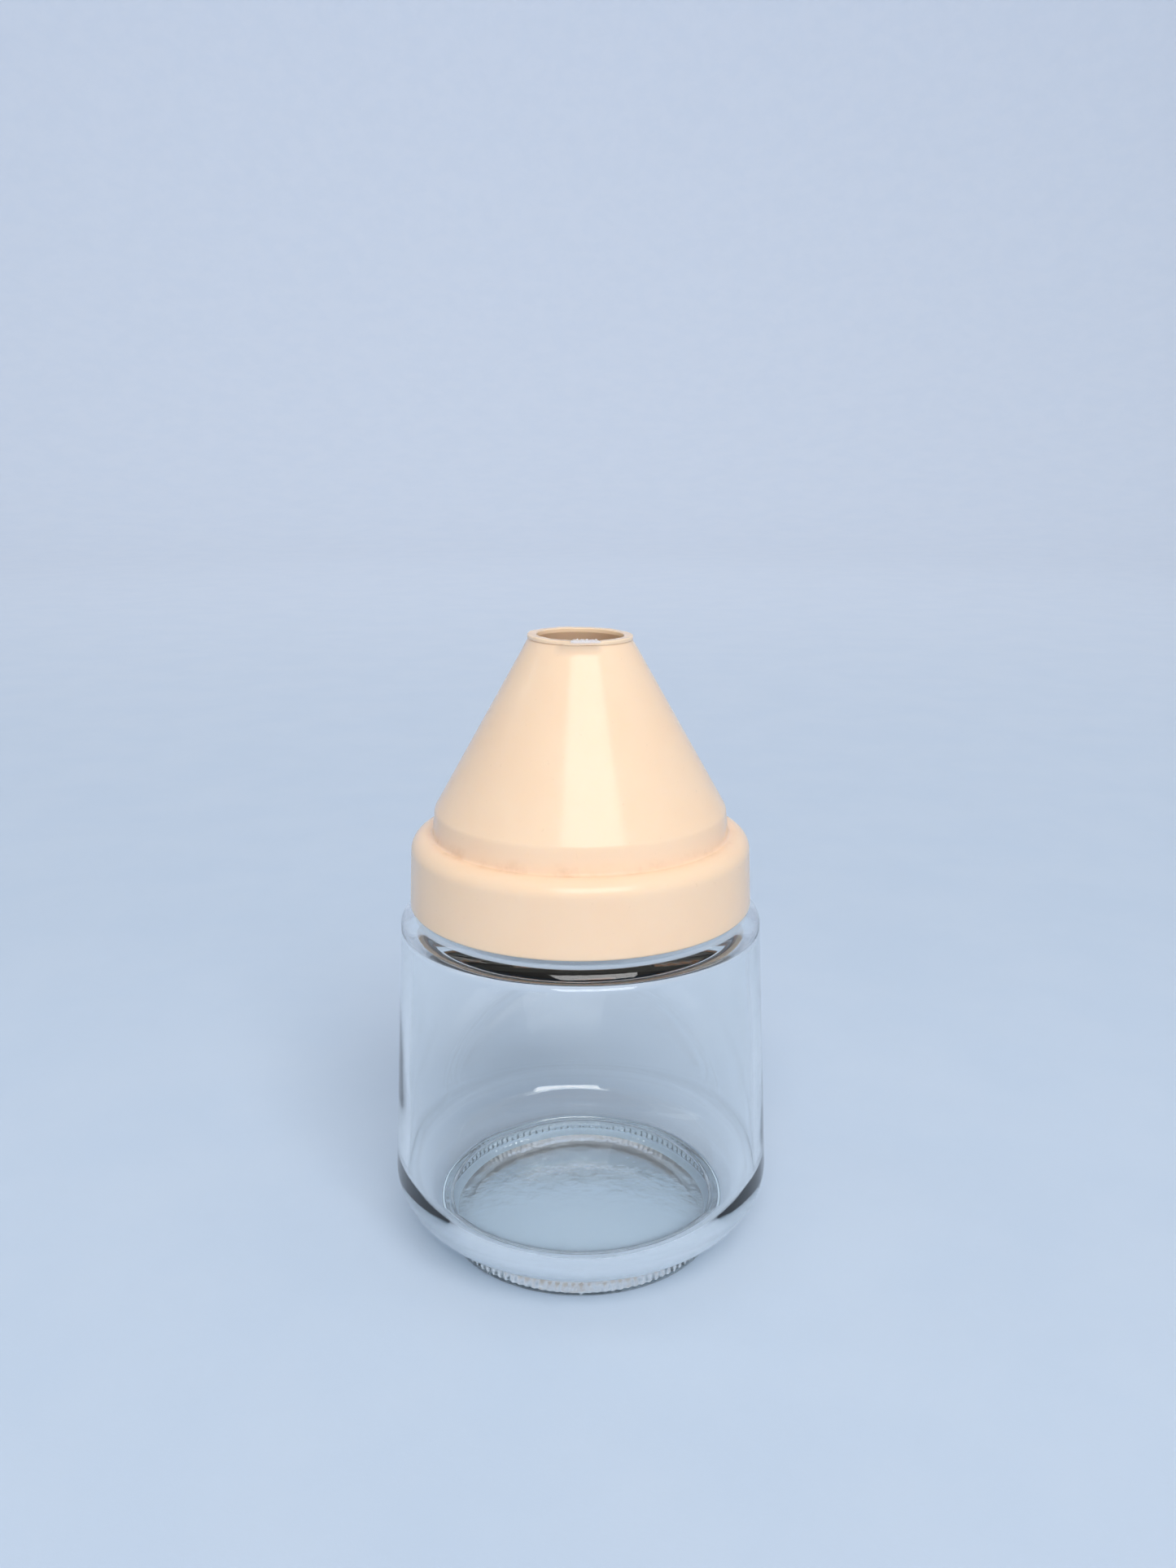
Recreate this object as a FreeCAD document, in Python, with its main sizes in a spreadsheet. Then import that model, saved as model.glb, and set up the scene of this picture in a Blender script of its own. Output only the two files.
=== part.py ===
"""Wasp trap: a wide-mouth glass jar closed by a moulded cone cap with an open tip.

Insects walk in through the hole at the tip, follow the dark cone down into the bright jar and
don't find the small hole again. The jar holds the bait. The cap is held by six short lugs that
run under six sloping ridges round the jar's neck, a multi-start thread, and a soft ring between
the glass rim and the underside of the cap's ledge keeps the joint tight.

Frame: millimetres, +Z up along the jar's axis, origin at the centre of the face it stands on.
"""

import FreeCAD
import Part
import math
import os
import re

import Sketcher
from FreeCAD import Vector

# ---------------------------------------------------------------------------------------------
# Driving dimensions, in millimetres unless the note says otherwise: alias, value, note.
# Radii are measured from the trap's axis and heights from the surface it stands on.
# ---------------------------------------------------------------------------------------------
SIZES = [
    ("total_height", 155.0, "from the foot to the rim of the entrance hole"),
    # Jar, outside
    ("foot_radius", 35.9, "outside of the foot ring"),
    ("foot_inner_radius", 33.0, "inside of the face the jar stands on"),
    ("foot_round", 0.7, "round on both edges of the foot ring"),
    ("foot_blend", 0.8, "hollow between the foot ring and the heel"),
    ("heel_height", 7.3, "underside of the heel"),
    ("heel_radius", 48.6, "corner of the heel before it is rounded"),
    ("heel_round", 11.5, "round of the heel"),
    ("shoulder_radius", 44.35, "corner of the shoulder before it is rounded"),
    ("shoulder_height", 88.0, "top of the shoulder"),
    ("shoulder_round", 4.0, "round of the shoulder"),
    ("neck_radius", 37.6, "outside of the neck"),
    ("neck_blend", 1.0, "hollow between the shoulder and the neck"),
    ("bead_radius", 38.9, "outside of the carrying bead round the neck"),
    ("bead_height", 91.2, "middle of the carrying bead"),
    ("bead_width", 2.6, "width of the carrying bead"),
    ("bead_round", 0.8, "round of the carrying bead"),
    ("mouth_height", 103.5, "top of the glass rim"),
    ("mouth_round", 1.1, "round on both edges of the glass rim"),
    # Jar, inside
    ("mouth_radius", 34.9, "inside of the neck"),
    ("inner_shoulder_radius", 41.65, "inner corner below the shoulder, before it is rounded"),
    ("inner_shoulder_height", 83.5, "inner corner below the shoulder"),
    ("inner_shoulder_rise", 1.5, "climb of the inside from that corner to the neck"),
    ("inner_shoulder_round", 2.2, "round of the inner shoulder"),
    ("inner_neck_round", 2.5, "round between the inner shoulder and the inside of the neck"),
    ("inner_heel_radius", 45.75, "inner corner of the heel before it is rounded"),
    ("inner_heel_round", 14.0, "round of the inner heel"),
    ("floor_height", 10.4, "edge of the inside floor, a shallow bowl, before it is rounded"),
    ("floor_middle", 5.8, "inside floor at the axis"),
    ("push_up_height", 3.4, "underside of the base at the axis"),
    ("push_up_edge", 1.0, "underside of the base at the foot ring's sloping inner side"),
    ("push_up_radius", 29.0, "outside of the domed underside"),
    # Thread of the neck and the cap
    ("starts", 6, "ridges on the neck and lugs in the cap"),
    ("thread_lead", 18.0, "rise of the cap in one turn"),
    ("ridge_radius", 38.95, "crest of the ridges"),
    ("ridge_width", 1.3, "height of a ridge's crest"),
    ("ridge_flank", 0.35, "how much a ridge widens on each side towards the glass"),
    ("ridge_start_height", 97.2, "middle of a ridge at its low end"),
    ("ridge_sweep", 46.0, "angle that a ridge covers, in degrees"),
    ("lug_radius", 37.95, "tip of the cap's lugs"),
    ("lug_width", 1.0, "height of a lug's tip"),
    ("lug_flank", 0.3, "how much a lug widens on each side towards the skirt"),
    ("lug_sweep", 20.0, "angle that a lug covers, in degrees"),
    ("lug_lead_in", 12.0, "angle from a ridge's low end to the lug below it, in degrees"),
    ("root_depth", 0.8, "how far ridges and lugs reach into the wall that carries them"),
    # Cap, outside
    ("skirt_foot_radius", 42.1, "outside of the skirt at its lower edge"),
    ("skirt_radius", 41.25, "outside of the skirt at the ledge, before it is rounded"),
    ("skirt_height", 89.2, "lower edge of the skirt"),
    ("skirt_edge_round", 0.5, "round on the skirt's lower edges"),
    ("ledge_height", 107.0, "top of the ledge between skirt and cone"),
    ("ledge_round", 4.0, "round between skirt and ledge"),
    ("collar_radius", 36.2, "collar under the cone, at the ledge"),
    ("collar_blend", 0.7, "hollow between ledge and collar"),
    ("cone_radius", 35.5, "wide end of the cone, before it is rounded"),
    ("cone_height", 113.0, "wide end of the cone"),
    ("cone_round", 2.6, "round between collar and cone"),
    ("lip_radius", 12.55, "outside of the lip at the entrance"),
    ("lip_height", 0.9, "height of the lip"),
    ("lip_step", 0.25, "how far the lip stands out from the cone"),
    ("lip_round", 0.3, "round on the lip's upper edges"),
    # Cap, inside
    ("entrance_radius", 10.35, "entrance hole"),
    ("entrance_length", 1.0, "length of the entrance hole's wall"),
    ("cap_wall", 1.8, "wall of the cone, measured square to it"),
    ("skirt_bore", 39.35, "inside of the skirt under the ledge"),
    ("skirt_draft", 0.45, "how much wider the skirt's inside is at its lower edge"),
    ("seat_height", 104.6, "underside of the ledge, where the sealing ring sits"),
    ("seat_overhang", 0.6, "how far the seat reaches in under the collar's wall"),
    ("seat_round", 0.5, "round at the outside of the seat"),
    ("retainer_radius", 38.6, "tip of the rib that keeps the sealing ring in the cap"),
    ("retainer_height", 103.0, "tip of that rib"),
    ("retainer_slope", 0.8, "how far the rib runs down the skirt below its tip"),
    ("retainer_hook", 0.35, "how far it runs up the skirt above its tip"),
    # Sealing ring
    ("seal_inner_radius", 34.5, "inside of the sealing ring"),
    ("seal_outer_radius", 38.9, "outside of the sealing ring"),
    ("seal_gap", 0.05, "play above and below the sealing ring"),
    ("seal_round", 0.2, "round on the sealing ring's edges"),
]
ALIASES = {alias for alias, _, _ in SIZES}
SHEET = "dim"
MATCH = 0.02  # how closely an edge has to match a ring that is asked for


def make_sheet(doc):
    """The spreadsheet that drives every sketch and feature."""
    sheet = doc.addObject("Spreadsheet::Sheet", SHEET)
    for row, (alias, value, note) in enumerate(SIZES, start=1):
        sheet.set(f"A{row}", alias)
        sheet.set(f"B{row}", str(value))
        sheet.setAlias(f"B{row}", alias)
        sheet.set(f"C{row}", note)
    doc.recompute()
    return sheet


def bound(formula):
    """A formula of aliases, written so that any object of the document can read it."""

    def named(word):
        return f"{SHEET}.{word[0]}" if word[0] in ALIASES else word[0]

    return re.sub(r"[a-z_]+", named, formula)


def size(sheet, formula):
    """The number that a formula of aliases stands for."""
    result = sheet.evalExpression(formula)
    return float(getattr(result, "Value", result))


# ---------------------------------------------------------------------------------------------
# Modelling helpers
# ---------------------------------------------------------------------------------------------
def new_body(doc, label):
    """An empty body whose label names its file."""
    body = doc.addObject("PartDesign::Body", label)
    body.Label = label
    return body


def origin_feature(body, role):
    """A plane or axis of the body's own origin."""
    return next(item for item in body.Origin.OriginFeatures if item.Role == role)


def dome_arc(edge, middle):
    """The arc between an edge point and a point on the axis, with its centre on the axis.

    Also gives the sketch's numbers for the arc's end at the edge and its end on the axis.
    """
    centre = (edge.x ** 2 + edge.y ** 2 - middle.y ** 2) / (2 * (edge.y - middle.y))
    circle = Part.Circle(Vector(0, centre, 0), Vector(0, 0, 1), abs(middle.y - centre))
    angle = math.atan2(edge.y - centre, edge.x)
    if middle.y > edge.y:
        return Part.ArcOfCircle(circle, angle, math.pi / 2), 1, 2
    return Part.ArcOfCircle(circle, -math.pi / 2, angle), 2, 1


def profile(body, sheet, name, corners, domes=()):
    """A closed outline in the XZ plane, from (radius, height) formulas of its corners.

    Sides are numbered like the corners they start from. Those in domes are arcs that are centred
    on the axis, the others are straight.
    """
    sketch = body.newObject("Sketcher::SketchObject", name)
    sketch.AttachmentSupport = [(origin_feature(body, "XZ_Plane"), "")]
    sketch.MapMode = "FlatFace"
    places = [Vector(size(sheet, r), size(sheet, z), 0) for r, z in corners]
    ends = []  # for each side, the sketch's number for its first and its last point
    for index, start in enumerate(places):
        end = places[(index + 1) % len(places)]
        if index not in domes:
            sketch.addGeometry(Part.LineSegment(start, end), False)
            ends.append((1, 2))
            continue
        outward = end.x > start.x
        arc, at_edge, at_axis = dome_arc(end, start) if outward else dome_arc(start, end)
        sketch.addGeometry(arc, False)
        ends.append((at_axis, at_edge) if outward else (at_edge, at_axis))
        sketch.addConstraint(Sketcher.Constraint("PointOnObject", index, 3, -2))
    for index, (radius, height) in enumerate(corners):
        before = (index - 1) % len(corners)
        last, point = ends[before][1], ends[index][0]
        sketch.addConstraint(Sketcher.Constraint("Coincident", before, last, index, point))
        for kind, formula, value in (
            ("DistanceX", radius, places[index].x),
            ("DistanceY", height, places[index].y),
        ):
            number = sketch.addConstraint(Sketcher.Constraint(kind, -1, 1, index, point, value))
            sketch.setExpression(f"Constraints[{number}]", bound(formula))
    body.Document.recompute()
    return sketch


def turned(body, sketch, name):
    """The outline turned once round the trap's axis."""
    feature = body.newObject("PartDesign::Revolution", name)
    feature.Profile = sketch
    feature.ReferenceAxis = (sketch, ["V_Axis"])
    feature.Angle = 360.0
    sketch.Visibility = False
    body.Document.recompute()
    return feature


def ring_edges(shape, radius, height):
    """Names of the circular edges of this radius at this height, round the trap's axis."""
    names = []
    for number, edge in enumerate(shape.Edges, start=1):
        if edge.Degenerated:  # the pole of a dome
            continue
        curve = edge.Curve
        if not isinstance(curve, Part.Circle) or abs(curve.Radius - radius) > MATCH:
            continue
        if abs(curve.Center.z - height) < MATCH:
            names.append(f"Edge{number}")
    return names


def rounded(body, sheet, base, name, radius, rings):
    """Rounds the edges at these (radius, height) formulas with one fillet."""
    names = []
    for ring_radius, ring_height in rings:
        found = ring_edges(base.Shape, size(sheet, ring_radius), size(sheet, ring_height))
        if not found:
            raise RuntimeError(f"{name}: no edge at {ring_radius}, {ring_height}")
        names += found
    feature = body.newObject("PartDesign::Fillet", name)
    feature.Base = (base, names)
    feature.setExpression("Radius", bound(radius))
    body.Document.recompute()
    return feature


def helical_ribs(body, sheet, name, corners, sweep):
    """Ribs of this section that climb with the thread's lead over the sweep, once per start."""
    section = profile(body, sheet, f"{name}_section", corners)
    rib = body.newObject("PartDesign::AdditiveHelix", f"{name}_rib")
    rib.Profile = section
    rib.ReferenceAxis = (section, ["V_Axis"])
    rib.Mode = "pitch-turns-angle"
    rib.setExpression("Pitch", bound("thread_lead"))
    rib.setExpression("Turns", bound(f"{sweep} / 360"))
    rib.Angle = 0.0
    rib.Growth = 0.0
    section.Visibility = False
    body.Document.recompute()
    pattern = body.newObject("PartDesign::PolarPattern", name)
    pattern.Originals = [rib]
    pattern.Axis = (origin_feature(body, "Z_Axis"), [""])
    pattern.Angle = 360.0
    pattern.setExpression("Occurrences", bound("starts"))
    body.Tip = pattern
    body.Document.recompute()
    return pattern


# ---------------------------------------------------------------------------------------------
# Sub-parts
# ---------------------------------------------------------------------------------------------
def glass_jar(doc, sheet):
    """The pressed glass jar: foot ring, domed base, wide body, shoulder and threaded neck."""
    body = new_body(doc, "glass_jar")
    bead_low = "bead_height - bead_width / 2"
    bead_high = "bead_height + bead_width / 2"
    outline = profile(body, sheet, "jar_outline", [
        ("0", "push_up_height"),
        ("push_up_radius", "push_up_edge"),
        ("foot_inner_radius", "0"),
        ("foot_radius", "0"),
        ("foot_radius", "heel_height"),
        ("heel_radius", "heel_height"),
        ("shoulder_radius", "shoulder_height"),
        ("neck_radius", "shoulder_height"),
        ("neck_radius", bead_low),
        ("bead_radius", bead_low),
        ("bead_radius", bead_high),
        ("neck_radius", bead_high),
        ("neck_radius", "mouth_height"),
        ("mouth_radius", "mouth_height"),
        ("mouth_radius", "inner_shoulder_height + inner_shoulder_rise"),
        ("inner_shoulder_radius", "inner_shoulder_height"),
        ("inner_heel_radius", "floor_height"),
        ("0", "floor_middle"),
    ], domes=(0, 16))
    shape = turned(body, outline, "jar_blank")
    shape = rounded(body, sheet, shape, "heel_fillet", "heel_round",
                    [("heel_radius", "heel_height")])
    shape = rounded(body, sheet, shape, "inner_heel_fillet", "inner_heel_round",
                    [("inner_heel_radius", "floor_height")])
    shape = rounded(body, sheet, shape, "shoulder_fillet", "shoulder_round",
                    [("shoulder_radius", "shoulder_height")])
    shape = rounded(body, sheet, shape, "inner_shoulder_fillet", "inner_shoulder_round",
                    [("inner_shoulder_radius", "inner_shoulder_height")])
    shape = rounded(body, sheet, shape, "inner_neck_fillet", "inner_neck_round",
                    [("mouth_radius", "inner_shoulder_height + inner_shoulder_rise")])
    shape = rounded(body, sheet, shape, "foot_blend_fillet", "foot_blend",
                    [("foot_radius", "heel_height")])
    shape = rounded(body, sheet, shape, "foot_fillet", "foot_round",
                    [("foot_radius", "0"), ("foot_inner_radius", "0")])
    shape = rounded(body, sheet, shape, "neck_fillet", "neck_blend",
                    [("neck_radius", "shoulder_height")])
    shape = rounded(body, sheet, shape, "bead_fillet", "bead_round",
                    [("bead_radius", bead_low), ("bead_radius", bead_high)])
    rounded(body, sheet, shape, "mouth_fillet", "mouth_round",
            [("neck_radius", "mouth_height"), ("mouth_radius", "mouth_height")])
    root = "neck_radius - root_depth"
    low, high = "ridge_start_height - ridge_width / 2", "ridge_start_height + ridge_width / 2"
    helical_ribs(body, sheet, "neck_ridges", [
        (root, f"{low} - ridge_flank"),
        ("ridge_radius", low),
        ("ridge_radius", high),
        (root, f"{high} + ridge_flank"),
    ], "ridge_sweep")
    return body


def cone_cap(doc, sheet):
    """The one-piece moulded cap: skirt with lugs, rounded ledge, collar and open-tipped cone."""
    body = new_body(doc, "cone_cap")
    slope = "((cone_radius - lip_radius + lip_step) / (total_height - lip_height - cone_height))"
    run = f"(cap_wall * sqrt(1 + {slope} * {slope}))"
    inner_tip = "total_height - entrance_length"
    inner_cone_height = f"({inner_tip} - (cone_radius - {run} - entrance_radius) / {slope})"
    lip_foot = "total_height - lip_height"
    outline = profile(body, sheet, "cap_outline", [
        ("skirt_bore + skirt_draft", "skirt_height"),
        ("skirt_foot_radius", "skirt_height"),
        ("skirt_radius", "ledge_height"),
        ("collar_radius", "ledge_height"),
        ("cone_radius", "cone_height"),
        ("lip_radius - lip_step", lip_foot),
        ("lip_radius", lip_foot),
        ("lip_radius", "total_height"),
        ("entrance_radius", "total_height"),
        ("entrance_radius", inner_tip),
        (f"cone_radius - {run}", inner_cone_height),
        ("collar_radius - cap_wall - seat_overhang", "seat_height"),
        ("skirt_bore", "seat_height"),
        ("skirt_bore", "retainer_height + retainer_hook"),
        ("retainer_radius", "retainer_height"),
        ("skirt_bore", "retainer_height - retainer_slope"),
    ])
    shape = turned(body, outline, "cap_blank")
    shape = rounded(body, sheet, shape, "ledge_fillet", "ledge_round",
                    [("skirt_radius", "ledge_height")])
    shape = rounded(body, sheet, shape, "collar_fillet", "collar_blend",
                    [("collar_radius", "ledge_height")])
    shape = rounded(body, sheet, shape, "cone_fillet", "cone_round",
                    [("cone_radius", "cone_height"), (f"cone_radius - {run}", inner_cone_height)])
    shape = rounded(body, sheet, shape, "seat_fillet", "seat_round",
                    [("skirt_bore", "seat_height")])
    shape = rounded(body, sheet, shape, "skirt_fillet", "skirt_edge_round",
                    [("skirt_foot_radius", "skirt_height"),
                     ("skirt_bore + skirt_draft", "skirt_height")])
    rounded(body, sheet, shape, "lip_fillet", "lip_round",
            [("lip_radius", "total_height"), ("entrance_radius", "total_height")])
    # A lug's middle runs half a thread pitch below the middle of the ridge that holds it.
    middle = "(ridge_start_height + (lug_lead_in / 360 - 0.5 / starts) * thread_lead)"
    root = "skirt_bore + root_depth"
    low, high = f"{middle} - lug_width / 2", f"{middle} + lug_width / 2"
    helical_ribs(body, sheet, "cap_lugs", [
        (root, f"{low} - lug_flank"),
        (root, f"{high} + lug_flank"),
        ("lug_radius", high),
        ("lug_radius", low),
    ], "lug_sweep")
    return body


def sealing_ring(doc, sheet):
    """The soft flat ring between the glass rim and the cap's ledge."""
    body = new_body(doc, "sealing_ring")
    low, high = "mouth_height + seal_gap", "seat_height - seal_gap"
    corners = [
        ("seal_inner_radius", low),
        ("seal_outer_radius", low),
        ("seal_outer_radius", high),
        ("seal_inner_radius", high),
    ]
    shape = turned(body, profile(body, sheet, "seal_outline", corners), "seal_blank")
    rounded(body, sheet, shape, "seal_fillet", "seal_round", corners)
    return body


def turn_to_ridge(body, sheet):
    """Turns the cap so that each lug sits below the low part of a ridge."""
    angle = size(sheet, "lug_lead_in")
    body.Placement = FreeCAD.Placement(Vector(0, 0, 0), FreeCAD.Rotation(Vector(0, 0, 1), angle))
    body.Document.recompute()


# ---------------------------------------------------------------------------------------------
# Checks and files
# ---------------------------------------------------------------------------------------------
def check(doc, bodies):
    """Stops if any object failed or any sub-part isn't one sound solid."""
    for item in doc.Objects:
        if "Invalid" in item.State or "Error" in item.State:
            raise RuntimeError(f"{item.Label} failed: {item.State}")
    for body in bodies:
        shape = body.Shape
        if shape.isNull() or not shape.isValid() or len(shape.Solids) != 1:
            raise RuntimeError(f"{body.Label} isn't one sound solid")
        box = shape.BoundBox
        print(f"{body.Label}: {shape.Volume / 1000:.1f} cm3, z {box.ZMin:.2f} to {box.ZMax:.2f},"
              f" width {box.XLength:.2f}")


def main():
    doc = FreeCAD.newDocument("wasp_trap")
    sheet = make_sheet(doc)
    jar = glass_jar(doc, sheet)
    cap = cone_cap(doc, sheet)
    turn_to_ridge(cap, sheet)
    seal = sealing_ring(doc, sheet)
    doc.recompute()
    bodies = [jar, cap, seal]
    check(doc, bodies)
    os.makedirs("parts", exist_ok=True)
    for body in bodies:
        body.Shape.exportStep(f"parts/{body.Label}.step")


main()
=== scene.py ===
"""Looks of a wasp trap: a pressed glass jar on a knurled foot under a moulded cream cone cap.

Lengths are in metres. The origin is the centre of the face the jar stands on, +Z is up along the
jar's axis, and -Y is the front. Radii are measured from the axis.
"""

import logging
import math
from dataclasses import dataclass
from enum import Enum
from typing import Callable, Optional, Sequence

import bpy
import numpy as np
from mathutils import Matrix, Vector


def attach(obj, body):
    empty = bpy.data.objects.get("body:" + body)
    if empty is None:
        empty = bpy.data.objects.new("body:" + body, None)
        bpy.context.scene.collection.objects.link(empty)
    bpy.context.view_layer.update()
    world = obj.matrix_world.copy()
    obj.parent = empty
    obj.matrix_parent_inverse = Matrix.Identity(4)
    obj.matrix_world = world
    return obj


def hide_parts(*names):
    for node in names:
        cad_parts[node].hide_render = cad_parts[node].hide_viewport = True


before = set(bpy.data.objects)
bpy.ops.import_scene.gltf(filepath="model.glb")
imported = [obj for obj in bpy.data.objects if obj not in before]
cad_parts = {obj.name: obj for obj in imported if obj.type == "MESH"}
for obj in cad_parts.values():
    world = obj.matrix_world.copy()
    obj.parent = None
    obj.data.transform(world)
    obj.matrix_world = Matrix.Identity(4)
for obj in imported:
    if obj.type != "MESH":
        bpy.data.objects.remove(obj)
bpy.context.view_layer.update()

LOG = logging.getLogger("wasp_trap")

Colour = tuple[float, float, float, float]
Ring = tuple[float, float]
Number = float | np.ndarray
Shape = Callable[[float, float, np.ndarray], tuple[np.ndarray, np.ndarray]]


class Body(Enum):
    """The rigid bodies of the frame that new pieces ride on."""

    JAR = "jar"
    CAP = "cap"


class Slot(Enum):
    """Names for material slots of the new pieces; nothing here gives them to a piece."""

    GLASS = "clear_glass"
    PLASTIC = "cream_plastic"


def from_screen(red: int, green: int, blue: int) -> Colour:
    """Turns a screen colour into the linear one that shaders use.

    Args:
        red: red, 0 to 255.
        green: green, 0 to 255.
        blue: blue, 0 to 255.

    Returns:
        The linear colour with an alpha of 1.
    """

    def linear(value: int) -> float:
        """One channel's linear value."""
        share = value / 255
        return share / 12.92 if share <= 0.04045 else ((share + 0.055) / 1.055) ** 2.4

    return linear(red), linear(green), linear(blue), 1.0


def smooth_step(low: float, high: float, value: Number) -> Number:
    """Rises smoothly from 0 at low to 1 at high."""
    share = np.clip((value - low) / (high - low), 0.0, 1.0)
    return share * share * (3 - 2 * share)


def turn_between(angle: np.ndarray, centre: float) -> np.ndarray:
    """The signed angle from centre to angle, between -pi and pi."""
    return (angle - centre + math.pi) % (2 * math.pi) - math.pi


# ---------------------------------------------------------------------------------------------
# Turned meshes
# ---------------------------------------------------------------------------------------------
ON_AXIS = 1e-7  # a ring this small is a single point
ON_WALL = 1e-5  # a ring this close to a wall's radius is part of the wall


@dataclass(frozen=True)
class Corner:
    """A corner of a turned outline.

    Attributes:
        radius: distance from the axis.
        height: height above the standing face.
        round: radius of the round on the corner, 0 for a sharp one.
        step: longest step along the straight side that starts here, infinite for a side without
            points of its own.
    """

    radius: float
    height: float
    round: float = 0.0
    step: float = 0.003


@dataclass(frozen=True)
class Outline:
    """Half section of a turned piece.

    Attributes:
        corners: its corners in order.
        closed: True for a ring's section, False for one that starts and ends on the axis.
        arc_turn: turn between two points of a round.
        support: distance from a round's end to the next point on a straight side.
    """

    corners: Sequence[Corner]
    closed: bool
    arc_turn: float = math.radians(8)
    support: float = 0.00012

    def rings(self) -> list[Ring]:
        """Works out the outline's points.

        Returns:
            Radius and height of each point, in order.
        """
        count = len(self.corners)
        rounds = [self._round(index) for index in range(count)]
        rings: list[Ring] = []
        for index in range(count):
            rings += rounds[index]
            if index == count - 1 and not self.closed:
                break
            start, end = rounds[index][-1], rounds[(index + 1) % count][0]
            rings += self._side(start, end, self.corners[index].step)
        return rings

    def _round(self, index: int) -> list[Ring]:
        """The points of one corner's round, or the corner itself where it is sharp."""
        corner = self.corners[index]
        here = np.array((corner.radius, corner.height))
        if corner.round <= 0:
            return [(corner.radius, corner.height)]
        before = self.corners[index - 1]
        after = self.corners[(index + 1) % len(self.corners)]
        back = np.array((before.radius, before.height)) - here
        ahead = np.array((after.radius, after.height)) - here
        back /= np.linalg.norm(back)
        ahead /= np.linalg.norm(ahead)
        half = math.acos(float(np.clip(back @ ahead, -1, 1))) / 2
        reach = corner.round / math.tan(half)
        bisector = back + ahead
        centre = here + bisector / np.linalg.norm(bisector) * corner.round / math.sin(half)
        start = here + back * reach - centre
        sweep = math.pi - 2 * half
        turning = 1.0 if float(np.cross(-back, ahead)) > 0 else -1.0
        steps = max(3, math.ceil(sweep / self.arc_turn))
        rings = []
        for step in range(steps + 1):
            angle = turning * sweep * step / steps
            cosine, sine = math.cos(angle), math.sin(angle)
            spoke = (start[0] * cosine - start[1] * sine, start[0] * sine + start[1] * cosine)
            rings.append((float(centre[0] + spoke[0]), float(centre[1] + spoke[1])))
        return rings

    def _side(self, start: Ring, end: Ring, step: float) -> list[Ring]:
        """The points between two ends of a straight side, with one close to each end."""
        length = math.dist(start, end)
        if length < 3 * self.support or math.isinf(step):
            return []
        near = self.support / length
        inner = max(1, math.ceil((length - 2 * self.support) / step))
        shares = [near + (1 - 2 * near) * index / inner for index in range(inner + 1)]
        run, rise = end[0] - start[0], end[1] - start[1]
        return [(start[0] + run * share, start[1] + rise * share) for share in shares]


def dome(edge: Ring, middle: float, first: float, count: int = 14) -> list[Corner]:
    """Corners along an arc that is centred on the axis.

    Args:
        edge: a point at the arc's edge.
        middle: height of the arc at the axis.
        first: radius of the outermost corner.
        count: number of sides.

    Returns:
        The corners, from the outermost one to the axis.
    """
    centre = (edge[0] ** 2 + edge[1] ** 2 - middle**2) / (2 * (edge[1] - middle))
    reach = abs(middle - centre)
    side = math.copysign(1.0, middle - centre)
    radii = [first * (1 - number / count) for number in range(count + 1)]
    return [Corner(r, centre + side * math.sqrt(reach**2 - r**2), step=math.inf) for r in radii]


def plain(radius: float, height: float, angles: np.ndarray) -> tuple[np.ndarray, np.ndarray]:
    """A shape that leaves a ring round and level."""
    return np.full_like(angles, radius), np.full_like(angles, height)


@dataclass(frozen=True)
class Lathe:
    """Turns outlines into closed meshes with smooth faces.

    Attributes:
        segments: points round each ring.
    """

    segments: int = 360

    def turn(
        self,
        name: str,
        outline: Outline,
        shape: Shape = plain,
        fine: Callable[[Ring], bool] = lambda ring: False,
    ) -> bpy.types.Object:
        """Makes the turned piece.

        Args:
            name: the piece's name.
            outline: its half section.
            shape: gives a ring's radii and heights at a row of angles.
            fine: True for a ring that gets twice as many points.

        Returns:
            The new object.
        """
        rings = outline.rings()
        rows: list[list[int]] = []
        points: list[tuple[float, float, float]] = []
        for ring in rings:
            count = 1 if ring[0] < ON_AXIS else self.segments * (2 if fine(ring) else 1)
            angles = np.arange(count) * 2 * math.pi / count
            radii, heights = shape(ring[0], ring[1], angles)
            rows.append(list(range(len(points), len(points) + count)))
            points += list(zip(radii * np.cos(angles), radii * np.sin(angles), heights))
        faces: list[tuple[int, ...]] = []
        pairs = list(zip(rows, rows[1:]))
        if outline.closed:
            pairs.append((rows[-1], rows[0]))
        for lower, upper in pairs:
            faces += self._band(lower, upper)
        return finished_mesh(name, points, faces)

    @staticmethod
    def _band(first: list[int], second: list[int]) -> list[tuple[int, ...]]:
        """The faces between two rings, the second with the same, half or twice the points."""
        if len(first) == len(second):
            count = len(first)
            return [
                (first[i], first[(i + 1) % count], second[(i + 1) % count], second[i])
                for i in range(count)
            ]
        if len(first) > len(second):
            return [face[::-1] for face in Lathe._band(second, first)]
        if len(first) == 1:
            count = len(second)
            return [(first[0], second[(i + 1) % count], second[i]) for i in range(count)]
        count, many = len(first), len(second)
        faces: list[tuple[int, ...]] = []
        for i in range(count):
            here, there = first[i], first[(i + 1) % count]
            low, middle, high = second[2 * i], second[2 * i + 1], second[(2 * i + 2) % many]
            faces += [(here, middle, low), (here, there, middle), (there, high, middle)]
        return faces


def finished_mesh(name: str, points: list, faces: list) -> bpy.types.Object:
    """Makes a smooth mesh object with its normals pointing outwards.

    Args:
        name: the object's name.
        points: its vertices.
        faces: its faces, as vertex numbers.

    Returns:
        The object, linked to the scene.
    """
    mesh = bpy.data.meshes.new(name)
    mesh.from_pydata(points, [], faces)
    mesh.validate()
    if sum_volume(mesh) < 0:
        mesh.flip_normals()
    mesh.shade_smooth()
    piece = bpy.data.objects.new(name, mesh)
    bpy.context.scene.collection.objects.link(piece)
    return piece


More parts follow.
